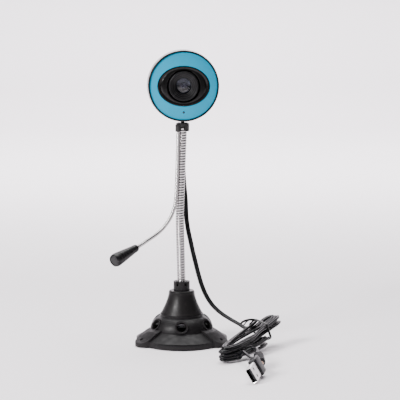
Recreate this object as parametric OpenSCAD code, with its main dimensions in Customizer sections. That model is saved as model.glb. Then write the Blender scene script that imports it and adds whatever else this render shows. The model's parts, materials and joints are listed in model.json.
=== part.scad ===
// Desk webcam on a gooseneck stand with a side microphone and a tied cord.
// Frame: origin at the centre of the base's underside, +Z up, the lens looks towards -Y.

/* [Base] */
// Height of the seat on the dome, where the cone stands
dome_top_z = 25; // [24.4:0.1:26]
// Radius of the round rim between the legs
rim_r = 38; // [36:0.5:40]
// Distance from the base's axis to a leg's screw hole
screw_reach = 38.5; // [37:0.25:40]
// Diameter of the screw holes in the legs
screw_hole_d = 3.2; // [2.6:0.1:4]
// Width of one leg
leg_w = 19.5; // [16:0.5:22]

/* [Gooseneck] */
// Outer diameter of the main hose
hose_d = 7.3; // [6:0.1:8]
// Outer diameter of the microphone's hose
mic_hose_d = 3.2; // [2.6:0.1:3.4]

/* [Head] */
// Height of the head's centre above the table
head_z = 219; // [216:1:225]
// Largest diameter of the head's rear shell
head_d = 60.4; // [58:0.2:62]
// How far the head is turned towards +X
head_yaw = 4; // [-10:1:10]
// Diameter of the focus ring
focus_d = 24.5; // [23:0.5:25]

/* [Cord] */
// Width of the flat twin cord
cord_w = 4; // [3.4:0.1:4.4]
// Thickness of the flat twin cord
cord_t = 2.2; // [1.8:0.1:2.6]
// Length of the tied hank
hank_l = 96; // [90:1:100]
// Width of the tied hank
hank_w = 28; // [24:1:30]

/* [Hidden] */
$fn = 64;
// Free space between two neighbours that don't move against each other
gap = 0.1;
// Free space around a part that turns in a bore
run = 0.1;
leg_angles = [-30, 90, 210];
lobe_angles = [-90, 30, 150];

// Base profile: the dome is an arc about [dome_c, dome_h], the skirt falls from it to the rim
floor_gap = 0.5;
dome_c = 13.5;
dome_h = 10.5;
dome_r = 13.5;
rim_h = 5;
shell_t = 2;
lobe_r = 32.6;
lobe_shift = 7;
lobe_h = 4.2;
leg_tip_x = 34;
port_r = 4.3;
port_rim_r = 5.7;
seat_r = 18.4;
port_tilt = 31;
cone_foot_r = 17.8;
cone_top_r = 10.9;
cone_top_z = 45;
collet_r = 6.95;
collet_seat_z = 38;
collet_top_z = 52.7;

// Main hose: pivots P_LOW and P_HIGH split it into three lengths
hose_r = hose_d / 2;
hose_foot = [0, 0, 26];
P_LOW = [-0.6, 0, 72];
P_HIGH = [-1.5, 0, 104];
neck_x = 1;
hose_top = [neck_x, 0, 182.8];
ball_gap = 0.1;

// Neck collar, from its lower edge to its top
collar_low = 180.5;
collar_top = 187.2;
collar_r = 5.6;
cup_low = 183.4;
cup_r = 4.2;
tilt_z = 186.4;
tongue_w = 3;
gland_y = 6.6;
gland_low = 177;

// Microphone hose, by its own points from the collar to the capsule
mic_r = mic_hose_d / 2;
mic_root_path = [[-2.8, -3.9, 183.2], [-2.9, -4.0, 172], [-3.3, -4.3, 156], [-3.8, -4.4, 142],
                 [-4.3, -4.5, 131]];
mic_bend_path = [[-4.3, -4.5, 129.2], [-4.7, -4.7, 123], [-5.4, -5.1, 118.5], [-6.4, -5.7, 115.3]];
mic_arm_path = [[-6.9, -6, 113.8], [-9.4, -7.7, 107.6], [-15.6, -12, 99.4], [-20.8, -15.9, 95],
                [-28.2, -21.5, 90.6], [-35.2, -25.9, 86.4]];
P_MIC = [-35.9, -26.4, 86];
mic_az = -133;
mic_down = 17.5;
mic_l = 30;

// Head, in its own frame: origin at the head's centre, forward is +Z of a lathe about the lens axis
head_r = head_d / 2;
shell_wide_y = 4;
shell_depth = 22.5;
shell_wall = 1.8;
front_y = 12.4;
front_r = 29.5;
face_r = 28.3;
bezel_r = 29.6;
oval_w = 43;
oval_h = 33;
socket_r = 8.1;
board_y = -6;
head_screw_x = 22;

// Cord: hand-laid route from the gland down to the hank on the table
cord_path = [[1, 6.6, 176.8], [1, 6.6, 165], [1.3, 6.6, 150], [2.2, 6.4, 135], [3.4, 6, 121],
             [4, 5.4, 107], [5.3, 4.4, 97], [7.4, 3, 87.4], [9.6, 1, 77.5], [11.9, -1, 68.3],
             [14.4, -3.4, 58.8], [17.4, -6, 49.4], [20.6, -8, 42.2], [25.6, -11, 34.7],
             [32.4, -14.5, 28.5], [40.2, -18, 23.8], [47.9, -21.5, 20], [54.6, -24.8, 17]];
hank_c = [56, -49];
hank_az = 59.7;
hank_low = 0.8;
hank_h = 18;
tie_at = 21;
tie_w = 4;
tie_t = 0.6;

// Plugs, by the middle of the tip and the way the plug runs back from it
usb_tip = [55, -162, 6.7];
usb_up = 4.5;
usb_az = 78.7;
usb_roll = 60;
usb_shell_l = 18.7;
usb_grip_l = 16;
usb_path = [[61.8, -128, 9.4], [62.2, -124.5, 9.6], [60.2, -117, 9.3], [56.5, -108, 9],
            [53.5, -98, 9.2], [50.5, -88.7, 10]];
audio_tip = [64.5, -126, 2.8];
audio_up = 12.7;
audio_az = 94.4;
audio_pin_l = 14;
audio_grip_l = 22;
audio_path = [[61.8, -90.9, 10.7], [61.5, -86.5, 11.3], [60.8, -80.5, 10.6], [57.7, -73.2, 9.4]];
lead_d = 2.4;

// ---- helpers ----
function unit(v) = v / norm(v);
function heading(p, i) = unit(p[min(i + 1, len(p) - 1)] - p[max(i - 1, 0)]);
function ring(c, t, w, h, ref, n) =
    let (s = unit(cross(t, ref)), u = cross(s, t))
    [for (k = [0 : n - 1]) c + s * w / 2 * cos(360 * k / n) + u * h / 2 * sin(360 * k / n)];
function flat_list(a) = [for (b = a, c = b) c];

// A closed tube of section w by h swept along a path; w lies square to ref
module tube(path, w, h, n = 8, ref = [0, 1, 0.2]) {
    m = len(path);
    rings = [for (i = [0 : m - 1]) ring(path[i], heading(path, i), w, h, ref, n)];
    sides = [for (i = [0 : m - 2], k = [0 : n - 1])
             [i * n + k, i * n + (k + 1) % n, (i + 1) * n + (k + 1) % n, (i + 1) * n + k]];
    low = [for (k = [0 : n - 1]) n - 1 - k];
    top = [for (k = [0 : n - 1]) (m - 1) * n + k];
    polyhedron(points = flat_list(rings), faces = concat([low], sides, [top]));
}

// Puts children on the line from a to b, with +Z from a to b
module along(a, b) {
    d = unit(b - a);
    translate(a) rotate([0, acos(d[2]), atan2(d[1], d[0])]) children();
}

// Turns a profile of [radius, forward] about the lens axis
module lathe() { rotate([90, 0, 0]) rotate_extrude($fn = 96) children(); }
// A round bar or bore along the lens axis between two forward positions
module bar(r, from, to) { rotate([90, 0, 0]) translate([0, 0, from]) cylinder(r = r, h = to - from); }
module at_head() { translate([neck_x, 0, head_z]) rotate([0, 0, head_yaw]) children(); }
module at_tilt() { translate([neck_x, 0, tilt_z]) rotate([0, 0, head_yaw]) children(); }
module at_mic() { translate(P_MIC) rotate([0, 90 + mic_down, mic_az]) children(); }
module at_usb() { translate(usb_tip) rotate([0, 90 - usb_up, usb_az]) rotate([0, 0, usb_roll]) children(); }
module at_audio() { translate(audio_tip) rotate([0, 90 - audio_up, audio_az]) children(); }
function arc(c, h, r, a0, a1, n) =
    [for (k = [0 : n]) let (a = a0 + (a1 - a0) * k / n) [c + r * cos(a), h + r * sin(a)]];
function oval(w, h, n = 72) = [for (k = [0 : n - 1]) [w / 2 * cos(360 * k / n), h / 2 * sin(360 * k / n)]];

// ---- base ----
// Outer half section of the base, with inset shrinking it to the inside of the shell
module base_section(inset, low) {
    polygon(concat([[0, low], [rim_r - inset, low], [rim_r - inset, rim_h - inset * 0.6],
                    [dome_c + dome_r + 0.6 - inset, dome_h + 1 - inset]],
                   arc(dome_c, dome_h, dome_r - inset, 5, 90, 14), [[0, dome_h + dome_r - inset]]));
}
module leg_blank() {
    intersection() {
        translate([0, 0, floor_gap]) linear_extrude(20) union() {
            translate([leg_tip_x, 0]) circle(d = leg_w);
            translate([20, -leg_w / 2]) square([leg_tip_x - 20, leg_w]);
        }
        rotate_extrude()
            polygon([[15, floor_gap], [15, 14], [23, 14], [27.5, 13.6], [31, 12], [34.5, 9.4],
                     [38, 6.8], [41, 4.9], [43.4, 3.6], [44, 2.6], [44, floor_gap]]);
    }
}
module port(r, from, to) {
    translate([dome_c, 0, dome_h]) rotate([0, 90 - port_tilt, 0]) translate([0, 0, from])
        cylinder(r = r, h = to - from);
}
module base_shell() {
    color("#2b292b") difference() {
        union() {
            rotate_extrude($fn = 120) base_section(0, floor_gap);
            for (a = lobe_angles) rotate([0, 0, a]) translate([lobe_shift, 0, floor_gap])
                cylinder(r = lobe_r, h = lobe_h - floor_gap);
            for (a = leg_angles) rotate([0, 0, a]) leg_blank();
            translate([0, 0, dome_h + 9.5]) cylinder(r = seat_r, h = dome_top_z - dome_h - 9.5);
            for (a = [0 : 60 : 300]) rotate([0, 0, a + 30]) port(port_rim_r, 8, dome_r + 0.2);
            for (a = lobe_angles, s = [-33, 0, 33]) rotate([90, 0, a + s])
                translate([0, 0, -0.7]) linear_extrude(1.4)
                    polygon([[26, 2], [26, 6], [29.1, 9.6], [37.6, 4.9], [37, 2]]);
        }
        rotate_extrude($fn = 120) base_section(shell_t, 0);
        for (a = [0 : 60 : 300]) rotate([0, 0, a + 30]) port(port_r, 0, dome_r + 3);
        for (a = leg_angles) rotate([0, 0, a]) translate([screw_reach, 0, -1])
            cylinder(d = screw_hole_d, h = 8);
        translate([0, 0, 15]) cylinder(r = 7.2, h = 12);
    }
}
module base_cone() {
    foot = dome_top_z;
    curve = [for (k = [0 : 12]) let (q = k / 12, z = foot + 0.4 + (43.6 - foot - 0.4) * q)
             [cone_top_r + (cone_foot_r - cone_top_r) * pow(1 - q, 1.5), z]];
    color("#2e2c2e") rotate_extrude($fn = 96) difference() {
        polygon(concat([[0, foot], [cone_foot_r - 0.3, foot]], curve,
                       arc(cone_top_r - 1.4, 43.6, 1.4, 0, 90, 6), [[0, cone_top_z]]));
        square([7, 30]);
        translate([0, 30]) square([4.2, 20]);
        translate([0, collet_seat_z]) square([collet_r + 0.05, 20]);
    }
}
module hose_collet() {
    color("#252325") difference() {
        translate([0, 0, collet_seat_z]) cylinder(r = collet_r, h = collet_top_z - collet_seat_z);
        along(hose_foot, P_LOW) cylinder(r = hose_r + gap, h = 60);
        for (a = [0 : 60 : 120]) rotate([0, 0, a]) translate([-9, -0.9, collet_top_z - 3.6])
            cube([18, 1.8, 5]);
        translate([0, 0, collet_top_z - 1.2]) cylinder(r1 = hose_r + 0.3, r2 = collet_r - 1.4, h = 1.3);
    }
}
module hose_ferrule() {
    color("#b9babd") translate([0, 0, 13]) difference() {
        union() {
            cylinder(r = 4.1, h = 13);
            translate([0, 0, 4.6]) cylinder(r = 6.4, h = 2);
        }
        translate([0, 0, -1]) cylinder(r = 2.4, h = 20);
    }
}
module hose_nut() {
    color("#a9abb0") translate([0, 0, 13]) difference() {
        cylinder(r = 6.6, h = 3.4, $fn = 6);
        translate([0, 0, -1]) cylinder(r = 4.1 + gap, h = 6, $fn = 48);
    }
}
module base_weight() {
    color("#55585c") translate([0, 0, 3]) difference() {
        cylinder(r = 21, h = 7.6);
        translate([0, 0, -1]) cylinder(r = 8.5, h = 12);
    }
}
module base_plate() {
    color("#1f1e20") difference() {
        union() {
            translate([0, 0, 0.9]) cylinder(r = rim_r - shell_t - gap, h = 1.6);
            for (a = leg_angles) rotate([0, 0, a + 60]) translate([29, 0, 2.4]) cylinder(r = 3, h = 3.4);
        }
        for (a = leg_angles) rotate([0, 0, a + 60]) translate([29, 0, -1]) cylinder(r = 1.3, h = 9);
        for (a = leg_angles) rotate([0, 0, a + 60]) translate([29, 0, 0]) cylinder(r = 2.6, h = 2);
        translate([0, 0, -1]) cylinder(r = 24.1, h = 2.5);
    }
}
module base_pad() { color("#3a3a3c") cylinder(r = 24, h = 1.5); }
module base_screws() {
    color("#9fa1a6") for (a = leg_angles) rotate([0, 0, a + 60]) translate([29, 0, 0]) {
        translate([0, 0, 0.7]) cylinder(r = 2.3, h = 1.3);
        translate([0, 0, 1.9]) cylinder(r = 1.2, h = 3.5);
    }
}

// ---- main hose ----
// One length of hose from a to b: cup below to sit on the ball of the length under it, ball on top
module hose_length(a, b, cup, ball) {
    color("#c3c5c9") difference() {
        along(a, b) union() {
            cylinder(r = hose_r, h = norm(b - a));
            if (ball) translate([0, 0, norm(b - a)]) sphere(r = hose_r);
        }
        if (cup) translate(a) sphere(r = hose_r + ball_gap);
    }
}
module hose_lower() { hose_length(hose_foot + [0, 0, 0.1], P_LOW, false, true); }
module hose_middle() { hose_length(P_LOW, P_HIGH, true, true); }
module hose_upper() { hose_length(P_HIGH, hose_top, true, false); }

// ---- neck ----
module neck_collar() {
    color("#1d1c1e") difference() {
        union() {
            translate([neck_x, 0, collar_low]) cylinder(r = collar_r, h = collar_top - collar_low);
            translate([-2.8, -3.9, collar_low]) cylinder(r = 2.3, h = 5.6);
            translate([neck_x, gland_y, 181.6]) cylinder(r = 3.4, h = collar_top - 181.6);
        }
        translate([neck_x - 1.7, -9, collar_low - 1]) cube([3.6, 6.2, 5]);
        along(P_HIGH, hose_top) cylinder(r = hose_r + 0.05, h = norm(hose_top - P_HIGH));
        along(mic_root_path[1], mic_root_path[0])
            cylinder(r = mic_r + 0.15, h = norm(mic_root_path[0] - mic_root_path[1]) + 0.05);
        translate([neck_x, 0, cup_low - 0.1]) cylinder(r = cup_r + run, h = 8);
        translate([neck_x, gland_y, collar_low - 1]) cylinder(r = 2.6, h = 3.8);
    }
}
module cord_gland() {
    color("#161517") translate([neck_x, gland_y, 0]) rotate_extrude()
        polygon([[0, gland_low], [2.1, gland_low], [2.45, 181], [2.55, 181.8], [2.55, 183.2], [0, 183.2]]);
}
module swivel_cup() {
    color("#202022") at_tilt() difference() {
        translate([0, 0, cup_low - tilt_z]) cylinder(r = cup_r, h = 4.4);
        translate([-tongue_w / 2 - 0.15, -6, -2]) cube([tongue_w + 0.3, 12, 8]);
        rotate([0, 90, 0]) translate([0, 0, -6]) cylinder(r = 0.7, h = 12);
    }
}
module tilt_pin() {
    color("#b4b6ba") at_tilt() rotate([0, 90, 0]) translate([0, 0, -3.9]) cylinder(r = 0.7, h = 7.8);
}
module head_stem() {
    color("#202022") at_tilt() difference() {
        union() {
            rotate([0, 90, 0]) translate([0, 0, -tongue_w / 2]) cylinder(r = 1.8, h = tongue_w);
            translate([-tongue_w / 2, -1.8, 0]) cube([tongue_w, 3.6, 5.6]);
            translate([-3.6, -6, 5.5]) cube([7.2, 7.2, 1.6]);
        }
        rotate([0, 90, 0]) translate([0, 0, -6]) cylinder(r = 0.7 + 0.05, h = 12);
    }
}

// ---- head ----
// Radius of the shell's outside at a forward position, for a shell that is t thinner all over
function shell_r(y, t) = y > shell_wide_y
    ? head_r - t - (head_r - front_r) * pow((y - shell_wide_y) / (front_y - shell_wide_y), 2)
    : (head_r - t) * sqrt(max(0, 1 - pow((shell_wide_y - y) / (shell_depth - t), 2)));
module shell_section(t) {
    n = 26;
    back = shell_wide_y - shell_depth + t;
    low = [for (k = [0 : n]) let (y = shell_wide_y - (shell_depth - t) * cos(90 * k / n)) [shell_r(y, t), y]];
    high = [for (k = [1 : 4]) let (y = shell_wide_y + (front_y - shell_wide_y) * k / 4) [shell_r(y, t), y]];
    polygon(concat(low, high, [[0, front_y]]));
}
module head_shell() {
    color("#b7b9bf") at_head() difference() {
        lathe() shell_section(0);
        lathe() shell_section(shell_wall);
        bar(front_r - shell_wall, front_y - 1, front_y + 2);
        translate([-tongue_w / 2 - 0.1, -1.9, -35]) cube([tongue_w + 0.2, 3.8, 10]);
        for (s = [-1, 1]) translate([s * head_screw_x, 0, 0]) bar(1.2, -20, 0);
        for (s = [-1, 1]) translate([s * head_screw_x, 0, 0]) bar(2.3, -20, -10.1);
    }
}
module head_bezel() {
    color("#111113") at_head() difference() {
        union() {
            lathe() polygon([[22.4, 10.6], [27.5, 10.6], [27.5, 12.45], [bezel_r, 12.45], [bezel_r, 14.8],
                             [29.3, 15.4], [28.8, 15.6], [face_r + 0.1, 15.2], [face_r + 0.1, 13],
                             [22.4, 13]]);
            for (s = [-1, 1]) translate([s * head_screw_x, 0, 0]) bar(2.3, -5.5, 11.7);
        }
        for (s = [-1, 1]) translate([s * head_screw_x, 0, 0]) bar(1, -7, 6);
    }
}
module head_screws() {
    color("#8f9298") at_head() for (s = [-1, 1]) translate([s * head_screw_x, 0, 0]) union() {
        bar(2, -11.1, -10.2);
        bar(1, -10.2, 4);
    }
}
module oval_bar(w, h, from, to) {
    rotate([90, 0, 0]) translate([0, 0, from]) linear_extrude(to - from) polygon(oval(w, h));
}
module face_disc() {
    dome = (face_r * face_r + 2.8 * 2.8) / (2 * 2.8);
    color("#1ea4d2") at_head() difference() {
        lathe() polygon(concat([[0, 13.05], [face_r, 13.05], [face_r, 14.2]],
                               [for (k = [1 : 10]) let (r = face_r * (1 - k / 10))
                                [r, 17 - dome + sqrt(dome * dome - r * r)]]));
        oval_bar(oval_w + 0.2, oval_h + 0.2, 11, 18);
        translate([0, 0, -21.8]) bar(0.9, 11, 18);
    }
}
module lens_surround() {
    color("#0c0c0e") at_head() difference() {
        oval_bar(oval_w, oval_h, 11.8, 16.4);
        lathe() polygon([[0, 13.2], [13, 13.2], [13.9, 16.25], [16.5, 15.95], [19, 15.65],
                         [21.8, 15.25], [21.8, 17], [0, 17]]);
        bar(focus_d / 2 + 0.35, 11, 17);
    }
}
module lens_socket() {
    color("#1a1a1c") at_head() difference() {
        union() {
            bar(10, board_y, 9.8);
            bar(15, 9.8, 11.75);
            for (s = [-1, 1]) translate([s * 12.4, 0, 0]) bar(2.6, board_y, -1);
            for (s = [-1, 1]) translate([s * 10.8 - 1.5, 0, 0]) bar(1.5, board_y, -1);
        }
        bar(6.2, board_y - 1, -3.6);
        bar(5, -4, 0);
        bar(socket_r + 0.05, -3, 14);
        for (s = [-1, 1]) translate([s * 12.4, 0, 0]) bar(0.9, board_y - 1, -2);
    }
}
module ir_filter() { color("#7a5a66") at_head() bar(6.05, -4.2, -3.6); }
module image_sensor() {
    color("#3b3f46") at_head() translate([-4, -board_y - 1, -4]) cube([8, 1, 8]);
}
module sensor_board() {
    color("#1f6b3a") at_head() difference() {
        translate([-17, -board_y, -15]) cube([34, 1.6, 30]);
        for (s = [-1, 1]) translate([s * 12.4, 0, 0]) bar(1.1, board_y - 3, board_y + 1);
    }
}
module board_connector() {
    color("#e8e4d8") at_head() translate([-5, -board_y + 1.6, -13]) cube([10, 4, 5]);
}
module board_screws() {
    color("#9fa1a6") at_head() for (s = [-1, 1]) translate([s * 12.4, 0, 0]) union() {
        bar(1.8, board_y - 2.7, board_y - 1.6);
        bar(0.9, board_y - 1.7, -2.2);
    }
}
module indicator_lens() { color("#202a30") at_head() translate([0, 0, -21.8]) bar(0.85, 13.05, 14.9); }

// ---- focusing lens ----
module focus_ring() {
    fr = focus_d / 2;
    color("#222224") at_head() lathe()
        polygon([[8.05, 12.3], [fr, 12.3], [fr, 17.4], [fr - 0.5, 18], [fr - 1.5, 18], [fr - 1.5, 17.2],
                 [9.2, 17.2], [9.2, 16.4], [7.9, 16.4], [7.9, 15.6], [6.75, 15.2], [6.75, 12.3]]);
}
module lens_barrel() {
    color("#303033") at_head() difference() {
        bar(socket_r - 0.05, -2.4, 12.25);
        bar(6.75, 9, 14);
        bar(5.8, -4, 14);
    }
}
module lens_front() {
    color("#10161f") at_head() lathe()
        polygon(concat([[0, 12.3], [6.7, 12.3], [6.7, 13.2]],
                       [for (k = [1 : 8]) let (r = 6.7 * (1 - k / 8)) [r, 13.2 + 1.6 * (1 - pow(r / 6.7, 2))]]));
}
module lens_rear() { color("#27404a") at_head() bar(5.75, -1, 1.4); }

// ---- microphone ----
module mic_hose_root() { color("#c3c5c9") tube(mic_root_path, mic_hose_d, mic_hose_d, 10); }
module mic_hose_bend() { color("#c3c5c9") tube(mic_bend_path, mic_hose_d, mic_hose_d, 10); }
module mic_hose_arm() { color("#c3c5c9") tube(mic_arm_path, mic_hose_d, mic_hose_d, 10); }
module mic_body() {
    color("#19181a") at_mic() rotate_extrude() difference() {
        polygon(concat([[0, 1.8], [2.3, 1.8], [2.85, 2.6], [3.3, 8], [4.2, 14], [5.1, 20], [5.55, 26]],
                       arc(4.9, mic_l - 0.8, 0.8, 0, 90, 4), [[0, mic_l]]));
        translate([0, mic_l - 9]) square([4.6, 12]);
        square([mic_r + 0.1, 2.2]);
    }
}
module mic_grille() {
    color("#2a2a2c") at_mic() difference() {
        translate([0, 0, mic_l - 1.5]) cylinder(r = 4.55, h = 1.2);
        for (a = [0 : 60 : 300]) rotate([0, 0, a]) translate([2.6, 0, mic_l - 3]) cylinder(r = 0.55, h = 5);
        translate([0, 0, mic_l - 3]) cylinder(r = 0.55, h = 5);
    }
}
module mic_element() { color("#a8a294") at_mic() translate([0, 0, mic_l - 8]) cylinder(r = 4.4, h = 5.5); }

// ---- cord and plugs ----
module cord_drop() { color("#141416") tube(cord_path, cord_w, cord_t); }
module hank_frame() { translate([hank_c[0], hank_c[1], hank_low]) rotate([0, 0, hank_az]) children(); }
module cord_hank() {
    end = hank_l / 2 - hank_w / 2;
    color("#141416") hank_frame() difference() {
        linear_extrude(hank_h) union() {
            for (s = [-1, 1]) translate([s * end, 0]) circle(d = hank_w);
            translate([-end, -hank_w / 2]) square([2 * end, hank_w]);
        }
    }
}
module cord_tie() {
    t = tie_t;
    color("#0d0d0f") hank_frame() difference() {
        translate([tie_at - tie_w / 2, -hank_w / 2 - t, -t]) cube([tie_w, hank_w + 2 * t, hank_h + 2 * t]);
        translate([tie_at - tie_w, -hank_w / 2, 0]) cube([2 * tie_w, hank_w, hank_h]);
    }
}
module usb_lead() { color("#141416") tube(usb_path, lead_d, lead_d, 8, [0, 0, 1]); }
module usb_overmould() {
    color("#19181a") at_usb() translate([0, 0, usb_shell_l]) difference() {
        union() {
            translate([-3.5, -7.25, 0]) cube([7, 14.5, usb_grip_l - 3]);
            translate([-2.5, -4.5, usb_grip_l - 3]) cube([5, 9, 3]);
        }
        translate([-1.6, -5.2, -1]) cube([3.2, 10.4, 6]);
    }
}
module usb_shell() {
    color("#d5d6d8") at_usb() difference() {
        translate([-2.25, -6, 0]) cube([4.5, 12, usb_shell_l]);
        translate([-1.95, -5.7, -1]) cube([3.9, 11.4, usb_shell_l]);
        for (s = [-1, 1]) translate([-3, s * 2.9 - 1.1, 5.2]) cube([6, 2.2, 2.2]);
    }
}
module usb_tongue() {
    color("#f1f1ee") at_usb() translate([-1.9, -5.6, 0.8]) cube([1.9, 11.2, usb_shell_l - 1.9]);
}
module audio_lead() { color("#141416") tube(audio_path, lead_d, lead_d, 8, [0, 0, 1]); }
module audio_overmould() {
    color("#19181a") at_audio() rotate_extrude()
        polygon([[0, audio_pin_l], [3.6, audio_pin_l], [4.2, audio_pin_l + 1], [4.2, audio_pin_l + 13],
                 [3, audio_pin_l + 15], [2.2, audio_pin_l + audio_grip_l - 0.2],
                 [0, audio_pin_l + audio_grip_l - 0.2]]);
}
module audio_pin() {
    color("#c9a58c") at_audio() rotate_extrude() difference() {
        polygon([[0, 0], [0.9, 0.2], [1.7, 1.6], [1.3, 2.8], [1.75, 3.6], [1.75, audio_pin_l], [0, audio_pin_l]]);
        for (h = [5, 8.4]) translate([1.4, h]) square([1, 0.7]);
    }
}
module audio_rings() {
    color("#101012") at_audio() for (h = [5, 8.4]) translate([0, 0, h]) difference() {
        cylinder(r = 1.75, h = 0.7);
        translate([0, 0, -1]) cylinder(r = 1.4, h = 3);
    }
}

base_shell();
base_cone();
hose_collet();
hose_ferrule();
hose_nut();
base_weight();
base_plate();
base_pad();
base_screws();
hose_lower();
hose_middle();
hose_upper();
neck_collar();
cord_gland();
swivel_cup();
tilt_pin();
head_stem();
head_shell();
head_bezel();
head_screws();
face_disc();
lens_surround();
lens_socket();
ir_filter();
image_sensor();
sensor_board();
board_connector();
board_screws();
indicator_lens();
focus_ring();
lens_barrel();
lens_front();
lens_rear();
mic_hose_root();
mic_hose_bend();
mic_hose_arm();
mic_body();
mic_grille();
mic_element();
cord_drop();
cord_hank();
cord_tie();
usb_lead();
usb_overmould();
usb_shell();
usb_tongue();
audio_lead();
audio_overmould();
audio_pin();
audio_rings();
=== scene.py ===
"""A desk webcam on a gooseneck stand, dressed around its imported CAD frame.

Lengths in the builders below are millimetres in the row frame and turn into metres in mesh_object().
"""
import json
import math

import bmesh
import bpy
from mathutils import Matrix, Vector


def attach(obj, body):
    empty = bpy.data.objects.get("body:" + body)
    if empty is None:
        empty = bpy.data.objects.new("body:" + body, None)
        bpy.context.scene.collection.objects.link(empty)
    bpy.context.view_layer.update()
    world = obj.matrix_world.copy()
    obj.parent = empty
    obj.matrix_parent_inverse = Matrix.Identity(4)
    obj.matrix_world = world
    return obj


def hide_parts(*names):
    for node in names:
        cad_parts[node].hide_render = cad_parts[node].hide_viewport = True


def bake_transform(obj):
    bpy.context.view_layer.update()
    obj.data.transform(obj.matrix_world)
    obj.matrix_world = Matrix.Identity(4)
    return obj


MM = 0.001
UP = Vector((0, 0, 1))
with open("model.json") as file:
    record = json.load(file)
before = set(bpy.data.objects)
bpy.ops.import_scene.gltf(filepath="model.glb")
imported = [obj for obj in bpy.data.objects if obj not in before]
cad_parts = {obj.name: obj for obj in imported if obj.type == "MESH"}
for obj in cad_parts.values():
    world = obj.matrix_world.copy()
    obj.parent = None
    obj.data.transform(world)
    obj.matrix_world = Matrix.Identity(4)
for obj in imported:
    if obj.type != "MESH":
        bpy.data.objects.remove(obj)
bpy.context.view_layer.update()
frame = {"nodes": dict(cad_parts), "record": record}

# ---------------------------------------------------------------- sizes and places, in mm
HOSE_R = 3.65
HOSE_PITCH = 2.2
HOSE_DEPTH = 0.62
HOSE_PATH = [(0, 0, 46), (-0.4, 0, 58), (-0.7, 0, 72), (-1.2, 0, 88), (-1.5, 0, 104), (-1.2, 0, 120),
             (-0.5, 0, 138), (0.2, 0, 158), (0.8, 0, 174), (1, 0, 183)]
MIC_HOSE_R = 1.6
MIC_HOSE_PITCH = 1.05
MIC_HOSE_DEPTH = 0.28
MIC_PATH = [(-2.8, -3.9, 185), (-2.9, -4, 172), (-3.3, -4.3, 156), (-3.8, -4.4, 142), (-4.3, -4.5, 130),
            (-4.8, -4.8, 123), (-5.5, -5.2, 118), (-6.8, -5.9, 113.8), (-9.4, -7.7, 107.6),
            (-15.6, -12, 99.4), (-20.8, -15.9, 95), (-28.2, -21.5, 90.6), (-35.9, -26.4, 86),
            (-38.2, -28.6, 84.9)]
MIC_BEND = (122, 96)     # heights between which the thin hose bends
MIC_TIP = (-35.9, -26.4, 86)
MIC_AZ = -133
MIC_DOWN = 17.5
HEAD_C = (1, 0, 219)
HEAD_YAW = 4
FACE_R = 28.3
OVAL = (21.5, 16.5)      # half width and half height of the lens opening
INDICATOR_DROP = 21.8    # from the lens axis down to the pinhole
FOCUS_R = 12.25
CORD_W = 4.0
CORD_LOBE = 1.05
LEAD_D = 2.4
CORD_PATH = [(1, 6.6, 176.8), (1, 6.6, 165), (1.3, 6.6, 150), (2.2, 6.4, 135), (3.4, 6, 121),
             (4, 5.4, 107), (5.3, 4.4, 97), (7.4, 3, 87.4), (9.6, 1, 77.5), (11.9, -1, 68.3),
             (14.4, -3.4, 58.8), (17.4, -6, 49.4), (20.6, -8, 42.2), (25.6, -11, 34.7),
             (32.4, -14.5, 28.5), (40.2, -18, 23.8), (47.9, -21.5, 20), (54.6, -24.8, 17)]
HANK_C = (56, -49)
HANK_AZ = 59.7
USB_PATH = [(61.8, -128, 9.4), (62.2, -124.5, 9.6), (60.2, -117, 9.3), (56.5, -108, 9),
            (53.5, -98, 9.2), (50.5, -88.7, 10)]
USB_TIP = (55, -162, 6.7)
USB_UP = 4.5
USB_AZ = 78.7
USB_ROLL = 60
USB_SHELL_L = 18.7
USB_GRIP_L = 16
TIE_U = 21               # where the tie sits along the hank
HANK_WINDS = 5.5         # turns of the cord in the hank
AUDIO_PATH = [(61.8, -90.9, 10.7), (61.5, -86.5, 11.3), (60.8, -80.5, 10.6), (57.7, -73.2, 9.4)]
AUDIO_TIP = (64.5, -126, 2.8)
AUDIO_UP = 12.7
AUDIO_AZ = 94.4
AUDIO_PIN_L = 14
BEND_LOW = (56, 88)      # heights round neck_pitch, where the hose and the cord are cut into pieces
BEND_HIGH = (88, 120)    # and round neck_roll, where the cord is cut

CAMERA_AT = (0.0156, -1.5, 0.305)      # metres
CAMERA_LENS = 161
CAMERA_TURN = 83.045     # degrees up from looking straight down


# ---------------------------------------------------------------- camera
def make_camera():
    cam = bpy.data.objects.new("camera", bpy.data.cameras.new("camera"))
    cam.data.lens = CAMERA_LENS
    cam.data.sensor_width = 36
    cam.location = CAMERA_AT
    cam.rotation_euler = (math.radians(CAMERA_TURN), 0, 0)
    bpy.context.collection.objects.link(cam)
    bpy.context.scene.camera = cam


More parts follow.
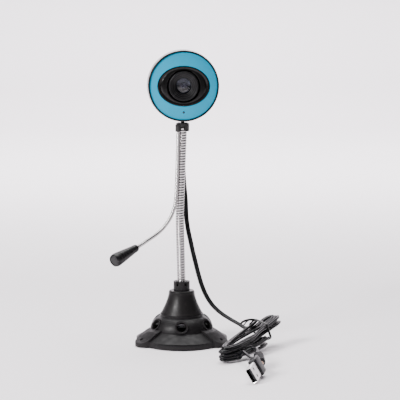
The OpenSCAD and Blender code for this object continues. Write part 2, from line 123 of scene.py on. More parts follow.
# ---------------------------------------------------------------- materials
class Nodes:
    """A small helper that builds one node material from the surface's own coordinates."""

    def __init__(self, name):
        self.mat = bpy.data.materials.new(name)
        self.mat.use_nodes = True
        self.tree = self.mat.node_tree
        self.shader = self.tree.nodes["Principled BSDF"]
        self.coords = self.add("ShaderNodeTexCoord").outputs["Object"]

    def add(self, kind, **settings):
        node = self.tree.nodes.new(kind)
        for key, value in settings.items():
            setattr(node, key, value)
        return node

    def link(self, a, b):
        self.tree.links.new(a, b)

    def noise(self, scale, detail=3, stretch=None):
        node = self.add("ShaderNodeTexNoise")
        node.inputs["Scale"].default_value = scale
        node.inputs["Detail"].default_value = detail
        if stretch:
            place = self.add("ShaderNodeMapping")
            place.inputs["Scale"].default_value = stretch
            self.link(self.coords, place.inputs["Vector"])
            self.link(place.outputs["Vector"], node.inputs["Vector"])
        else:
            self.link(self.coords, node.inputs["Vector"])
        return node.outputs["Fac"]

    def ramp(self, fac, low, high, start=0.3, end=0.7):
        node = self.add("ShaderNodeValToRGB")
        node.color_ramp.elements[0].position = start
        node.color_ramp.elements[1].position = end
        node.color_ramp.elements[0].color = (*low, 1)
        node.color_ramp.elements[1].color = (*high, 1)
        self.link(fac, node.inputs["Fac"])
        return node.outputs["Color"]

    def span(self, fac, low, high):
        node = self.add("ShaderNodeMapRange")
        node.inputs["From Min"].default_value = 0.3
        node.inputs["From Max"].default_value = 0.7
        node.inputs["To Min"].default_value = low
        node.inputs["To Max"].default_value = high
        self.link(fac, node.inputs["Value"])
        return node.outputs["Result"]

    def bump(self, fac, strength, distance, below=None):
        node = self.add("ShaderNodeBump")
        node.inputs["Strength"].default_value = strength
        node.inputs["Distance"].default_value = distance
        self.link(fac, node.inputs["Height"])
        if below:
            self.link(below, node.inputs["Normal"])
        return node.outputs["Normal"]

    def edge_wear(self, color, worn, amount=0.5):
        """Mixes a worn tone onto raised edges, where the surface is pointed."""
        geometry = self.add("ShaderNodeNewGeometry")
        fac = self.add("ShaderNodeMapRange")
        fac.inputs["From Min"].default_value = 0.53
        fac.inputs["From Max"].default_value = 0.62
        fac.inputs["To Max"].default_value = amount
        self.link(geometry.outputs["Pointiness"], fac.inputs["Value"])
        mix = self.add("ShaderNodeMix", data_type="RGBA")
        self.link(fac.outputs["Result"], mix.inputs["Factor"])
        self.link(color, mix.inputs[6])
        mix.inputs[7].default_value = (*worn, 1)
        return mix.outputs[2]


def shades(color, spread):
    """A darker and a lighter tone of a colour."""
    return [min(1, c * (1 - spread)) for c in color], [min(1, c * (1 + spread)) for c in color]


def surface(name, color, rough, metallic=0.0, spread=0.12, grain=1400, bump=0.12, depth=0.00006,
            coat=0.0, mottle=160, rough_spread=0.25, worn=None, specular=0.5):
    """Moulded plastic, rubber or metal: a mottled tone, uneven roughness and a fine grain."""
    n = Nodes(name)
    low, high = shades(color, spread)
    tone = n.ramp(n.noise(mottle, 4), low, high)
    if worn:
        tone = n.edge_wear(tone, worn)
    n.link(tone, n.shader.inputs["Base Color"])
    n.link(n.span(n.noise(mottle * 3.1, 3), rough * (1 - rough_spread), rough * (1 + rough_spread)),
           n.shader.inputs["Roughness"])
    n.link(n.bump(n.noise(grain, 2), bump, depth), n.shader.inputs["Normal"])
    n.shader.inputs["Metallic"].default_value = metallic
    n.shader.inputs["Coat Weight"].default_value = coat
    n.shader.inputs["Coat Roughness"].default_value = 0.05
    n.shader.inputs["Specular IOR Level"].default_value = specular
    return n.mat


def clear_glass(name, tint):
    n = Nodes(name)
    low, high = shades(tint, 0.04)
    n.link(n.ramp(n.noise(90, 2), low, high), n.shader.inputs["Base Color"])
    n.link(n.span(n.noise(300, 2), 0.02, 0.05), n.shader.inputs["Roughness"])
    n.link(n.bump(n.noise(60, 1), 0.01, 0.00001), n.shader.inputs["Normal"])
    n.shader.inputs["Transmission Weight"].default_value = 1
    n.shader.inputs["IOR"].default_value = 1.45
    n.shader.inputs["Specular IOR Level"].default_value = 0.2
    return n.mat


def make_materials():
    m = {}
    m["base_black"] = surface("base_black", (0.0062, 0.0056, 0.0062), 0.45, specular=0.16, spread=0.1,
                              grain=2600, bump=0.22, depth=0.00008, worn=(0.016, 0.015, 0.0155),
                              mottle=70)
    m["cone_black"] = surface("cone_black", (0.0075, 0.0068, 0.007), 0.42, specular=0.18, spread=0.1,
                              grain=2600, bump=0.2, depth=0.00008, worn=(0.02, 0.0185, 0.019),
                              mottle=60)
    m["weight_iron"] = surface("weight_iron", (0.05, 0.05, 0.052), 0.7, 0.6, grain=700, bump=0.4)
    m["pad_rubber"] = surface("pad_rubber", (0.03, 0.03, 0.03), 0.9, grain=3000, bump=0.5)
    m["screw_steel"] = surface("screw_steel", (0.5, 0.5, 0.52), 0.3, 1, grain=3500, bump=0.1)
    m["hose_chrome"] = surface("hose_chrome", (0.5, 0.485, 0.485), 0.16, 1, spread=0.05, grain=1800,
                               bump=0.05, depth=0.00003, mottle=220, rough_spread=0.35)
    m["neck_black"] = surface("neck_black", (0.005, 0.0048, 0.005), 0.34, specular=0.2, spread=0.15,
                              bump=0.1, worn=(0.05, 0.05, 0.05))
    m["shell_silver"] = surface("shell_silver", (0.22, 0.215, 0.22), 0.32, 0.6, spread=0.05, grain=5200,
                                bump=0.1, depth=0.00003, coat=0.4, mottle=40)
    m["bezel_black"] = surface("bezel_black", (0.004, 0.004, 0.0045), 0.25, spread=0.2, bump=0.04,
                               specular=0.2)
    m["face_blue"] = surface("face_blue", (0.0, 0.25, 0.4), 0.36, 0.0, spread=0.06, grain=4200,
                             bump=0.05, depth=0.00003, mottle=30, specular=0.15)
    m["surround_black"] = surface("surround_black", (0.003, 0.003, 0.003), 0.16, specular=0.25,
                                  spread=0.2, grain=1200, bump=0.03, depth=0.00003, mottle=80)
    m["lens_black"] = surface("lens_black", (0.0045, 0.0045, 0.005), 0.36, specular=0.2, spread=0.12,
                              grain=3200, bump=0.12, worn=(0.03, 0.03, 0.032), mottle=200)
    # lens_inner is the lens cell's own dark plastic, and also the painted shade of the USB latch window patches.
    m["lens_inner"] = surface("lens_inner", (0.003, 0.003, 0.0035), 0.5, specular=0.2, spread=0.2,
                              bump=0.2)
    m["lens_glass"] = clear_glass("lens_glass", (0.75, 0.8, 0.95))
    m["filter_glass"] = surface("filter_glass", (0.016, 0.007, 0.014), 0.08, spread=0.2, coat=0.3,
                                bump=0.02)
    m["sensor_dark"] = surface("sensor_dark", (0.03, 0.04, 0.05), 0.2, spread=0.2)
    m["board_green"] = surface("board_green", (0.02, 0.14, 0.05), 0.35, spread=0.2)
    m["connector_white"] = surface("connector_white", (0.7, 0.68, 0.62), 0.5)
    m["led_dark"] = surface("led_dark", (0.01, 0.012, 0.016), 0.12, spread=0.3, coat=1, bump=0.02)
    m["mic_black"] = surface("mic_black", (0.005, 0.0048, 0.0055), 0.3, specular=0.28, spread=0.15,
                             grain=2200, bump=0.12, worn=(0.02, 0.02, 0.022))
    m["mic_metal"] = surface("mic_metal", (0.012, 0.012, 0.013), 0.4, 0.3, spread=0.3, grain=2400,
                             bump=0.4, mottle=900)
    m["cord_black"] = surface("cord_black", (0.0035, 0.0035, 0.0045), 0.32, specular=0.25, spread=0.18,
                              grain=2800, bump=0.16, mottle=120)
    m["tie_black"] = surface("tie_black", (0.005, 0.005, 0.0055), 0.3, specular=0.3, spread=0.2,
                             grain=2000, bump=0.2)
    m["plug_black"] = surface("plug_black", (0.0045, 0.0043, 0.0055), 0.36, specular=0.25, spread=0.14,
                              grain=3000, bump=0.22, worn=(0.03, 0.03, 0.034))
    m["plug_metal"] = surface("plug_metal", (0.8, 0.79, 0.78), 0.18, 1, spread=0.05, grain=1600,
                              bump=0.06, mottle=240)
    m["pin_gold"] = surface("pin_gold", (0.66, 0.47, 0.37), 0.22, 1, spread=0.06, grain=2400, bump=0.06)
    return m


# ---------------------------------------------------------------- mesh builders
def mesh_object(name, verts, faces, material, sharp=38):
    """A mesh object from points in mm, smooth but for edges sharper than the given angle."""
    mesh = bpy.data.meshes.new(name)
    mesh.from_pydata([Vector(v) * MM for v in verts], [], faces)
    bm = bmesh.new()
    bm.from_mesh(mesh)
    bmesh.ops.remove_doubles(bm, verts=bm.verts, dist=1e-7)
    bmesh.ops.dissolve_degenerate(bm, edges=bm.edges, dist=1e-8)
    bmesh.ops.recalc_face_normals(bm, faces=bm.faces)
    limit = math.radians(sharp)
    for face in bm.faces:
        face.smooth = True
    for edge in bm.edges:
        edge.smooth = len(edge.link_faces) != 2 or edge.calc_face_angle(0) < limit
    bm.to_mesh(mesh)
    bm.free()
    mesh.materials.append(material)
    obj = bpy.data.objects.new(name, mesh)
    bpy.context.collection.objects.link(obj)
    return obj


def loft(name, rings, material, cap_start=False, cap_end=False, sharp=38):
    """Quads between closed rings of equal point counts."""
    n = len(rings[0])
    verts = [p for ring in rings for p in ring]
    faces = [(i * n + k, i * n + (k + 1) % n, (i + 1) * n + (k + 1) % n, (i + 1) * n + k)
             for i in range(len(rings) - 1) for k in range(n)]
    if cap_start:
        faces.append(tuple(reversed(range(n))))
    if cap_end:
        faces.append(tuple((len(rings) - 1) * n + k for k in range(n)))
    return mesh_object(name, verts, faces, material, sharp)


def circle(radius, height, steps, wave=None):
    """A ring about +Z; wave gives the change of radius at an angle."""
    ring = []
    for k in range(steps):
        a = 2 * math.pi * k / steps
        r = radius + (wave(a) if wave else 0)
        ring.append((r * math.cos(a), r * math.sin(a), height))
    return ring


def lathe(name, profile, place, material, steps=96, sharp=38, wave=None, waved=()):
    """Turns [radius, height] points about +Z and puts them at a place; waved lists rows with ripples."""
    rings = []
    for i, (r, h) in enumerate(profile):
        ring = circle(r, h, steps, wave if i in waved else None)
        rings.append([place @ Vector(p) for p in ring])
    return loft(name, rings, material, sharp=sharp)


def smooth_path(points, step):
    """Points about a step apart along a centripetal curve through the given points."""
    pts = [Vector(p) for p in points]
    pts = [pts[0] * 2 - pts[1]] + pts + [pts[-1] * 2 - pts[-2]]
    out = []
    for i in range(1, len(pts) - 2):
        p0, p1, p2, p3 = pts[i - 1:i + 3]
        t1 = max((p1 - p0).length, 1e-6) ** 0.5
        t2 = t1 + max((p2 - p1).length, 1e-6) ** 0.5
        t3 = t2 + max((p3 - p2).length, 1e-6) ** 0.5
        count = max(1, round((p2 - p1).length / step))
        for k in range(count):
            t = t1 + (t2 - t1) * k / count
            a1 = p0 * ((t1 - t) / t1) + p1 * (t / t1)
            a2 = p1 * ((t2 - t) / (t2 - t1)) + p2 * ((t - t1) / (t2 - t1))
            a3 = p2 * ((t3 - t) / (t3 - t2)) + p3 * ((t - t2) / (t3 - t2))
            b1 = a1 * ((t2 - t) / t2) + a2 * (t / t2)
            b2 = a2 * ((t3 - t) / (t3 - t1)) + a3 * ((t - t1) / (t3 - t1))
            out.append(b1 * ((t2 - t) / (t2 - t1)) + b2 * ((t - t1) / (t2 - t1)))
    out.append(pts[-2])
    return out


def even_path(points, step):
    """The same line with its points at one even distance."""
    fine = smooth_path(points, step / 4)
    length = path_length(fine)
    count = max(2, round(length / step))
    out = [fine[0]]
    run = 0.0
    for a, b in zip(fine, fine[1:]):
        d = (b - a).length
        while len(out) < count and run + d >= length * len(out) / count:
            out.append(a.lerp(b, (length * len(out) / count - run) / d))
        run += d
    out.append(fine[-1])
    return out


def path_length(path):
    return sum((b - a).length for a, b in zip(path, path[1:]))


def frames_along(path, side, level=0.0):
    """(tangent, side, normal) at each point; side is carried along, and level pulls it towards level."""
    out = []
    side = Vector(side)
    for i in range(len(path)):
        t = (path[min(i + 1, len(path) - 1)] - path[max(i - 1, 0)]).normalized()
        flat = t.cross(UP)
        if level and flat.length > 0.2:
            aim = flat.normalized()
            if aim.dot(side) < 0:
                aim = -aim
            side = side.lerp(aim, level * flat.length)
        side = (side - t * side.dot(t)).normalized()
        out.append((t, side, t.cross(side)))
    return out


def sweep(name, path, frames, section, material, cap=True, sharp=50):
    """A tube of a fixed section of (across, up) points along a path with its frames."""
    rings = [[p + s * a + n * b for a, b in section] for p, (_, s, n) in zip(path, frames)]
    return loft(name, rings, material, cap, cap, sharp)


def coil(name, path, radius, pitch, depth, material, first=0, last=None, steps=26):
    """A hose wound from round wire: its radius ripples once a pitch and the ripple climbs as a helix."""
    frames = frames_along(path, (1, 0, 0))
    last = len(path) - 1 if last is None else last
    run = [0.0]
    for a, b in zip(path, path[1:]):
        run.append(run[-1] + (b - a).length)
    rings = []
    for i in range(first, last + 1):
        _, s, n = frames[i]
        ring = []
        for k in range(steps):
            a = 2 * math.pi * k / steps
            phase = (run[i] / pitch - k / steps) % 1
            r = radius - depth + depth * math.sqrt(max(0.0, 1 - (2 * phase - 1) ** 2))
            ring.append(path[i] + s * (r * math.cos(a)) + n * (r * math.sin(a)))
        rings.append(ring)
    return loft(name, rings, material, True, True, sharp=180)


def spot(at, up, azimuth, roll=0):
    """A frame at a point whose +Z rises by `up` degrees on a bearing; the same turns as in the CAD."""
    return (Matrix.Translation(at) @ Matrix.Rotation(math.radians(azimuth), 4, "Z")
            @ Matrix.Rotation(math.radians(90 - up), 4, "Y")
            @ Matrix.Rotation(math.radians(roll), 4, "Z"))


def round_box(name, size, centre, radius, place, material, segments=3):
    """A box with rounded edges, built in a local frame."""
    bm = bmesh.new()
    bmesh.ops.create_cube(bm, size=1)
    for v in bm.verts:
        v.co = Vector([centre[i] + v.co[i] * size[i] for i in range(3)])
    bmesh.ops.bevel(bm, geom=bm.edges[:], offset=radius, segments=segments, profile=0.5, affect="EDGES")
    verts = [place @ v.co for v in bm.verts]
    faces = [tuple(v.index for v in f.verts) for f in bm.faces]
    bm.free()
    return mesh_object(name, verts, faces, material, sharp=60)


def put(obj, body, slot, *nodes):
    """Rides on a body and stands for CAD nodes; the slot is not used."""
    if nodes:
        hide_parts(*nodes)
    if body:
        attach(obj, body)
    return obj


HEAD = Matrix.Translation(HEAD_C) @ Matrix.Rotation(math.radians(HEAD_YAW), 4, "Z")
LENS = HEAD @ Matrix.Rotation(math.radians(90), 4, "X")    # +Z forward, out of the lens
MIC = spot(MIC_TIP, -MIC_DOWN, MIC_AZ)
USB = spot(USB_TIP, USB_UP, USB_AZ, USB_ROLL)
AUDIO = spot(AUDIO_TIP, AUDIO_UP, AUDIO_AZ)


# ---------------------------------------------------------------- cord
def twin_section(steps=22):
    """Two round conductors side by side, joined by a web."""
    half = CORD_W / 2
    middle = half - CORD_LOBE
    out = []
    for k in range(steps):
        a = 2 * math.pi * (k + 0.5) / steps
        x = half * math.cos(a)
        y = math.sqrt(max(0.0, CORD_LOBE ** 2 - (abs(x) - middle) ** 2))
        out.append((x, math.copysign(max(y, 0.02), math.sin(a))))
    return out


def hank_place():
    return (Matrix.Translation((HANK_C[0], HANK_C[1], 0))
            @ Matrix.Rotation(math.radians(HANK_AZ), 4, "Z"))


def hank_turns():
    """Five turns and a half, winding down from the top of the bundle to its floor, pinched at the tie."""
    place = hank_place()
    # far end along, its shift across and its height; the same for the near end; half width
    turns = [(45, 5, 28, -40, 0, 13.5, 5), (49, -1, 23, -47, -3, 11, 7), (46, 4, 24, -44, 2, 9.5, 5.5),
             (49, -2.5, 18.5, -45, -2, 8, 6.5), (13, -7, 9.5, -43, 1, 5.5, 6.5),
             (17, -6, 6, -46, -1, 3.6, 7), (13, -7, 2.8, -42, 0, 1.9, 6)]
    out = []
    per_turn = 16
    for k in range(int(HANK_WINDS * per_turn) + 1):
        turn = k / per_turn
        i = int(turn)
        far, far_v, far_w, near, near_v, near_w, half = [
            a + (b - a) * (turn - i) for a, b in zip(turns[i], turns[i + 1])]
        a = 2 * math.pi * turn + math.radians(150)
        u = (far + near) / 2 + (far - near) / 2 * math.sin(a)
        f = (u - near) / (far - near)
        pinch = 1 - 0.45 * math.exp(-((u - TIE_U) / 13) ** 2)
        v = near_v + (far_v - near_v) * f - half * math.cos(a) * pinch
        out.append(place @ Vector((u, v, near_w + (far_w - near_w) * f ** 1.6)))
    return out


def cord_route():
    """The whole of the twin cord: down from the gland, over the base's rim, and round the hank."""
    return even_path(CORD_PATH + [tuple(p) for p in hank_turns()], 2.0)


def make_cord(m):
    path = cord_route()
    frames = frames_along(path, (1, 0, 0), level=0.08)
    section = twin_section()
    cuts = [0]
    for height in (BEND_HIGH[1], BEND_HIGH[0], BEND_LOW[0]):
        cuts.append(next(i for i, p in enumerate(path) if p.z < height))
    cuts.append(len(path) - 1)
    names = ["cord_top", "cord_high", "cord_low", "cord_floor"]
    pieces = []
    for name, a, b in zip(names, cuts, cuts[1:]):
        part = path[a:b + 1]
        piece = sweep(name, part, frames[a:b + 1], section, m["cord_black"], cap=True, sharp=70)
        pieces.append((piece, part))
    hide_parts("cord_drop")
    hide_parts("cord_hank")
    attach(pieces[0][0], "neck")
    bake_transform(pieces[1][0])
    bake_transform(pieces[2][0])
    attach(pieces[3][0], "base")
    lays = ["hanging", "hanging", "hanging", "coiled"]
    total = 0
    for (piece, part), lay in zip(pieces, lays):
        length = path_length(part) * MM
        total += length
        extra = [] if lay == "hanging" else make_tie(m, part)
    return path, total


def make_tie(m, path):
    """A twist tie drawn round the bundle, with a small twisted loop left over beside it."""
    place = hank_place()
    local = [place.inverted() @ p for p in path]
    near = [Vector((p.y, p.z)) for p in local if abs(p.x - TIE_U) < 4 and abs(p.y) < 9]
    steps = 48
    reach = []
    for k in range(steps):
        a = 2 * math.pi * k / steps
        reach.append(max(p.x * math.cos(a) + p.y * math.sin(a) for p in near) + 1.75)
    loop = []
    for k in range(steps):
        a = 2 * math.pi * k / steps
        slope = (reach[(k + 1) % steps] - reach[k - 1]) * steps / (4 * math.pi)
        v = reach[k] * math.cos(a) - slope * math.sin(a)
        w = reach[k] * math.sin(a) + slope * math.cos(a)
        loop.append(Vector((TIE_U + 1.6 * math.sin(a), v, max(w, 0.75))))
    rings = []
    for i, p in enumerate(loop):
        t = (loop[(i + 1) % steps] - loop[i - 1]).normalized()
        side = (Vector((1, 0, 0)) - t * t.x).normalized()
        up = t.cross(side)
        rings.append([place @ (p + side * (1.7 * math.cos(b)) + up * (0.55 * math.sin(b)))
                      for b in [2 * math.pi * j / 10 for j in range(10)]])
    band = loft("twist_tie", rings + [rings[0]], m["tie_black"], sharp=70)
    put(band, "base", "tie_black", "cord_tie")
    top = loop[steps // 6]
    tail = [place @ (top + Vector(d)) for d in ((0, -1, 0), (-2, 2, 0.4), (-5, 5, 0),
                                                (-8.5, 7.5, -1.6), (-10.5, 7, -3.4),
                                                (-9.5, 5, -3.2), (-7, 4.2, -1.2), (-4, 3, 0.2))]
    tail = even_path([tuple(p) for p in tail], 0.8)
    oval = [(0.95 * math.cos(2 * math.pi * j / 10),
             0.5 * math.sin(2 * math.pi * j / 10)) for j in range(10)]
    end = sweep("twist_tie_tail", tail, frames_along(tail, (0, 0, 1)), oval, m["tie_black"])
    return [band, put(end, "base", "tie_black")]


def make_leads(m, path):
    """The two single leads that part from the twin cord, each to its plug."""
    ring = [(LEAD_D / 2 * math.cos(2 * math.pi * k / 12), LEAD_D / 2 * math.sin(2 * math.pi * k / 12))
            for k in range(12)]
    end = tuple(path[-1])
    for name, points, node, pieces in (
            ("usb_cord", USB_PATH, "usb_lead", make_usb(m)),
            ("audio_cord", AUDIO_PATH, "audio_lead", make_audio(m))):
        way = even_path(list(reversed(points)), 1.5)
        way = even_path([end, *lead_in(end, way[0]), *[tuple(p) for p in way]], 1.5)
        piece = sweep(name, way, frames_along(way, (0, 0, 1)), ring, m["cord_black"])
        put(piece, "base", "cord_black", node)


def lead_in(a, b):
    """A gentle line of points from the end of the twin cord to where a lead leaves the bundle."""
    a, b = Vector(a), Vector(b)
    return [tuple(a.lerp(b, f) + Vector((0, 0, 1.2 * math.sin(math.pi * f)))) for f in (0.33, 0.67)]


def make_usb(m):
    """USB-A plug: moulded grip with a boot and side ribs, a folded steel shell, tongue and contacts."""
    grip = round_box("usb_grip", (7, 14.5, USB_GRIP_L - 3), (0, 0, USB_SHELL_L + (USB_GRIP_L - 3) / 2),
                     1.1, USB, m["plug_black"], 4)
    put(grip, "base", "plug_black", "usb_overmould")
    out = [grip]
    boot = loft("usb_boot",
                [[USB @ Vector((w * math.cos(a) * abs(math.cos(a)) ** -0.3 if abs(math.cos(a)) > 1e-6
                                else 0, d * math.sin(a), h))
                  for a in [2 * math.pi * (k + 0.5) / 24 for k in range(24)]]
                 for w, d, h in [(2.6, 4.6, 31.4), (2.6, 4.6, 32.2), (2.2, 3.4, 33.6),
                                 (1.7, 2.2, 34.8), (1.5, 1.7, 36.2)]], m["plug_black"], True, True)
    out.append(put(boot, "base", "plug_black"))
    for s in (-1, 1):
        for k in range(4):
            rib = round_box(f"usb_rib_{k}_{'ab'[s > 0]}", (4.4, 0.5, 0.7),
                            (0, s * 7.25, USB_SHELL_L + 3.6 + 1.9 * k), 0.2, USB, m["plug_black"], 2)
            out.append(put(rib, "base", "plug_black"))
    out.append(make_usb_shell(m))
    tongue = round_box("usb_tongue_block", (1.84, 11.1, USB_SHELL_L - 1.9),
                       (-0.98, 0, USB_SHELL_L / 2), 0.15, USB, m["plug_black"], 2)
    out.append(put(tongue, "base", "plug_black", "usb_tongue"))
    for k in range(4):
        contact = round_box(f"usb_contact_{k}", (0.12, 1.1, 8.5), (0.0, -3.5 + 7 * k / 3, 6), 0.05, USB,
                            m["pin_gold"], 2)
        out.append(put(contact, "base", "pin_gold"))
    return out


def make_usb_shell(m):
    """The folded shell: rounded thin walls, with two latch windows in each broad side drawn as thin dark patches
    of painted shade.
    """
    def outline(w, t, r):
        pts = []
        for cx, cy, a0 in ((w - r, t - r, 0), (-(w - r), t - r, 90), (-(w - r), -(t - r), 180),
                           (w - r, -(t - r), 270)):
            for k in range(5):
                a = math.radians(a0 + 22.5 * k)
                pts.append((cy + r * math.sin(a), cx + r * math.cos(a)))
        return pts
    outer, inner = outline(6, 2.25, 0.7), outline(5.72, 1.97, 0.45)
    rows = [(inner, 6.5), (inner, 0.15), (outer, 0.0), (outer, 0.2), (outer, USB_SHELL_L + 0.6)]
    shell = loft("usb_steel", [[USB @ Vector((x, y, h)) for x, y in ring] for ring, h in rows],
                 m["plug_metal"])
    for s in (-1, 1):
        for x in (-2.25, 2.25):
            # Each latch window is a thin near-black patch of painted shade laid on the steel, standing for the
            # dark inside of the hole; no hole is cut.
            window = round_box(f"usb_window_shade_{'ab'[s > 0]}_{'ab'[x > 0]}", (0.12, 2.3, 2.3),
                               (x, s * 2.9, 6.3), 0.05, USB, m["lens_inner"], 2)
            put(window, "base", "plug_metal")
    return put(shell, "base", "plug_metal", "usb_shell")


def make_audio(m):
    """3.5 mm plug: ringed grip with a tapering boot, and the pin with its two insulating rings."""
    h = AUDIO_PIN_L
    profile = [(0, h - 0.05), (3.1, h), (3.7, h + 0.4), (4.1, h + 1.2)]
    for k in range(5):
        z = h + 2.2 + 2.1 * k
        profile += [(4.2, z), (4.2, z + 1.2), (3.85, z + 1.45), (3.85, z + 1.85)]
    profile += [(4.2, h + 12.7), (4.1, h + 13.6), (3.2, h + 15), (2.7, h + 17), (2.3, h + 19.5),
                (1.9, h + 21.6), (1.3, h + 22), (0, h + 22)]
    grip = lathe("audio_grip", profile, AUDIO, m["plug_black"], 48)
    pin = lathe("audio_pin_metal",
                [(0, 0), (0.5, 0.05), (0.95, 0.35), (1.68, 1.5), (1.7, 1.8), (1.3, 2.7), (1.35, 3.0),
                 (1.75, 3.7), (1.75, 4.95), (1.62, 5), (1.62, 5.7), (1.75, 5.75), (1.75, 8.35),
                 (1.62, 8.4), (1.62, 9.1), (1.75, 9.15), (1.75, h - 0.9), (2.3, h - 0.85),
                 (2.3, h + 0.1)], AUDIO, m["pin_gold"], 40)
    rings = [lathe(f"audio_insulator_{k}",
                   [(1.5, z), (1.74, z + 0.03), (1.74, z + 0.67), (1.5, z + 0.7)], AUDIO,
                   m["plug_black"], 40) for k, z in enumerate((5, 8.4))]
    put(grip, "base", "plug_black", "audio_overmould")
    put(pin, "base", "pin_gold", "audio_pin")
    put(rings[0], "base", "plug_black", "audio_rings")
    put(rings[1], "base", "plug_black")
    return [grip, pin, *rings]


# ---------------------------------------------------------------- hoses
def make_hoses(m):
    path = even_path(HOSE_PATH, HOSE_PITCH / 9)
    split = next(i for i, p in enumerate(path) if p.z > BEND_LOW[1])
    low = coil("hose_coil_low", path, HOSE_R, HOSE_PITCH, HOSE_DEPTH, m["hose_chrome"], 0, split)
    high = coil("hose_coil_high", path, HOSE_R, HOSE_PITCH, HOSE_DEPTH, m["hose_chrome"], split)
    for piece, nodes in ((low, ["hose_lower", "hose_middle"]), (high, ["hose_upper"])):
        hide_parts(*nodes)
    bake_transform(low)
    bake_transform(high)


def make_mic_hose(m):
    path = even_path(MIC_PATH, MIC_HOSE_PITCH / 7)
    a = next(i for i, p in enumerate(path) if p.z < MIC_BEND[0])
    b = next(i for i, p in enumerate(path) if p.z < MIC_BEND[1])
    args = (path, MIC_HOSE_R, MIC_HOSE_PITCH, MIC_HOSE_DEPTH, m["hose_chrome"])
    top = coil("mic_coil_top", *args, 0, a, 16)
    bend = coil("mic_coil_bend", *args, a, b, 16)
    arm = coil("mic_coil_arm", *args, b, None, 16)
    for piece, node in ((top, "mic_hose_root"), (bend, "mic_hose_bend"), (arm, "mic_hose_arm")):
        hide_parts(node)
    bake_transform(top)
    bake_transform(bend)
    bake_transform(arm)


# ---------------------------------------------------------------- microphone
def make_mic(m):
    """The tapered capsule: a boot, two grooves and a rolled lip round the grille."""
    profile = [(0, 1.2), (1.7, 1.2), (2.3, 1.4), (2.8, 1.9), (3.15, 2.8), (3.3, 4), (3.42, 5.6),
               (3.22, 5.8), (3.22, 6.2), (3.52, 6.4), (3.8, 9), (4.2, 12.5), (4.65, 16), (5.05, 19.6),
               (5.3, 22.4), (5.15, 22.6), (5.15, 23.0), (5.42, 23.2), (5.62, 25.2), (5.66, 26.8),
               (5.5, 28.2), (5.15, 29.2), (4.75, 29.7), (4.5, 29.6), (4.4, 29.2), (4.4, 27.9), (0, 27.9)]
    body = lathe("mic_capsule_body", profile, MIC, m["mic_black"], 64)
    put(body, "mic", "mic_black", "mic_body")
    rows = [(4.42, 28.2), (4.42, 29.0), (3.6, 29.3), (2.4, 29.5), (1.2, 29.6), (0, 29.62)]
    plate = lathe("mic_grille_plate", rows, MIC, m["mic_metal"], 48)
    put(plate, "mic", "mic_black", "mic_grille")
    spots = [(0, 0)] + [(1.3 * math.cos(a), 1.3 * math.sin(a))
                        for a in [math.pi / 3 * k for k in range(6)]]
    spots += [(2.6 * math.cos(a), 2.6 * math.sin(a)) for a in [math.pi / 6 * k for k in range(12)]]
    spots += [(3.8 * math.cos(a), 3.8 * math.sin(a)) for a in [math.pi / 9 * k for k in range(18)]]
    verts, faces = [], []
    for x, y in spots:
        r = math.hypot(x, y)
        z = 29.64 - 0.02 * r * r
        base = len(verts)
        for h, rad in ((z - 0.3, 0.3), (z + 0.06, 0.36), (z + 0.06, 0.46), (z - 0.3, 0.46)):
            verts += [MIC @ Vector((x + rad * math.cos(a), y + rad * math.sin(a), h))
                      for a in [math.pi / 4 * k for k in range(8)]]
        faces += [(base + i * 8 + k, base + i * 8 + (k + 1) % 8, base + (i + 1) * 8 + (k + 1) % 8,
                   base + (i + 1) * 8 + k)
                  for i in range(3) for k in range(8)]
    holes = mesh_object("mic_grille_eyelets", verts, faces, m["mic_metal"])
    put(holes, "mic", "mic_metal")


# ---------------------------------------------------------------- head
def dome(radius):
    """How far forward the blue face stands at a distance from the lens axis."""
    big = (FACE_R ** 2 + 2.8 ** 2) / 5.6
    return 17 - big + math.sqrt(big * big - radius * radius)


def oval_point(a, grow=0.0):
    return (OVAL[0] + grow) * math.cos(a), (OVAL[1] + grow) * math.sin(a)


def make_face(m):
    """The blue disc, gently domed, with a soft rim and the oval opening for the lens."""
    steps = 144
    rings = []
    rows = [(0, 0.25, -2.4), (0, 0.12, -0.35), (0, 0.35, -0.06), (0, 0.7, 0)]
    rows += [(f, 0.7, 0) for f in (0.12, 0.25, 0.4, 0.55, 0.7, 0.85, 0.95)]
    for f, grow, drop in rows:
        ring = []
        for k in range(steps):
            a = 2 * math.pi * k / steps
            x, y = oval_point(a, grow)
            inner = math.hypot(x, y)
            r = inner + (FACE_R - 0.45 - inner) * f
            ring.append(LENS @ Vector((r * x / inner, r * y / inner, dome(r) + drop)))
        rings.append(ring)
    directions = [Vector((*oval_point(2 * math.pi * k / steps, 0.7), 0)).normalized()
                  for k in range(steps)]
    for r, h in ((FACE_R - 0.22, 14.24), (FACE_R - 0.06, 14.06), (FACE_R, 13.8), (FACE_R, 13.1)):
        rings.append([LENS @ Vector((d.x * r, d.y * r, h)) for d in directions])
    face = loft("blue_face", rings, m["face_blue"])
    cutter = lathe("cutter", [(0, 11), (0.95, 11), (0.95, 20), (0, 20)],
                   LENS @ Matrix.Translation((0, -INDICATOR_DROP, 0)), m["face_blue"], 24)
    cut = face.modifiers.new("pinhole", "BOOLEAN")
    cut.object = cutter
    bpy.context.view_layer.objects.active = face
    bpy.ops.object.modifier_apply(modifier="pinhole")
    bpy.data.objects.remove(cutter)
    put(face, "head", "face_blue", "face_disc")


